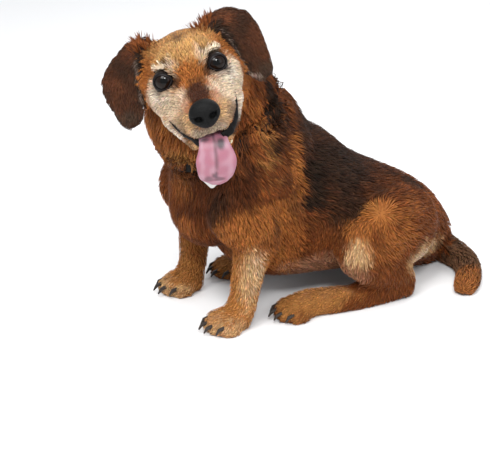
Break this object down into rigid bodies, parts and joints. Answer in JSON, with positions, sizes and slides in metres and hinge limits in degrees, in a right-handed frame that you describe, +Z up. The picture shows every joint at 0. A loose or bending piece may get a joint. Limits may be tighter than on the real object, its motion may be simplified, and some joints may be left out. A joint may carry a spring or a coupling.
{
  "type": "sitting dog",
  "caption": "Short-legged brown mongrel dog as a still life-size model: sitting, head turned and cocked, mouth open with the tongue out, drop ears, collar and tag.",
  "frame": {"origin": "on the floor under the middle of the model's bounding box", "axes": "the dog's chest faces -Y, its left side is +X, +Z is up; its head is turned towards +X"},
  "size_m": [0.2696, 0.443, 0.3443],
  "materials": {
    "coat": "soft",
    "coat_dark": "soft",
    "coat_tan": "soft",
    "coat_face": "soft",
    "eye": "gloss",
    "nose_leather": "damp",
    "tongue": "damp",
    "tooth": "gloss",
    "claw": "satin",
    "strap": "woven",
    "steel": "satin"
  },
  "bodies": {
    "root": {"head": "coat_face", "neck": "coat", "trunk": "coat", "tail": "coat", "ear_left": "coat_dark", "ear_right": "coat_dark", "foreleg_left": "coat_tan", "foreleg_right": "coat_tan", "hindleg_left": "coat_tan", "hindleg_right": "coat_tan", "eye_left": "eye", "eye_right": "eye", "nose": "nose_leather", "tongue": "tongue", "canine_left": "tooth", "canine_right": "tooth", "collar": "strap", "tag": "steel", "ring": "steel", "claw_fore_left_1": "claw", "claw_fore_left_2": "claw", "claw_fore_left_3": "claw", "claw_fore_left_4": "claw", "claw_fore_right_1": "claw", "claw_fore_right_2": "claw", "claw_fore_right_3": "claw", "claw_fore_right_4": "claw", "claw_hind_left_1": "claw", "claw_hind_left_2": "claw", "claw_hind_left_3": "claw", "claw_hind_left_4": "claw", "claw_hind_right_1": "claw", "claw_hind_right_2": "claw", "claw_hind_right_3": "claw", "claw_hind_right_4": "claw"}
  },
  "joints": []
}
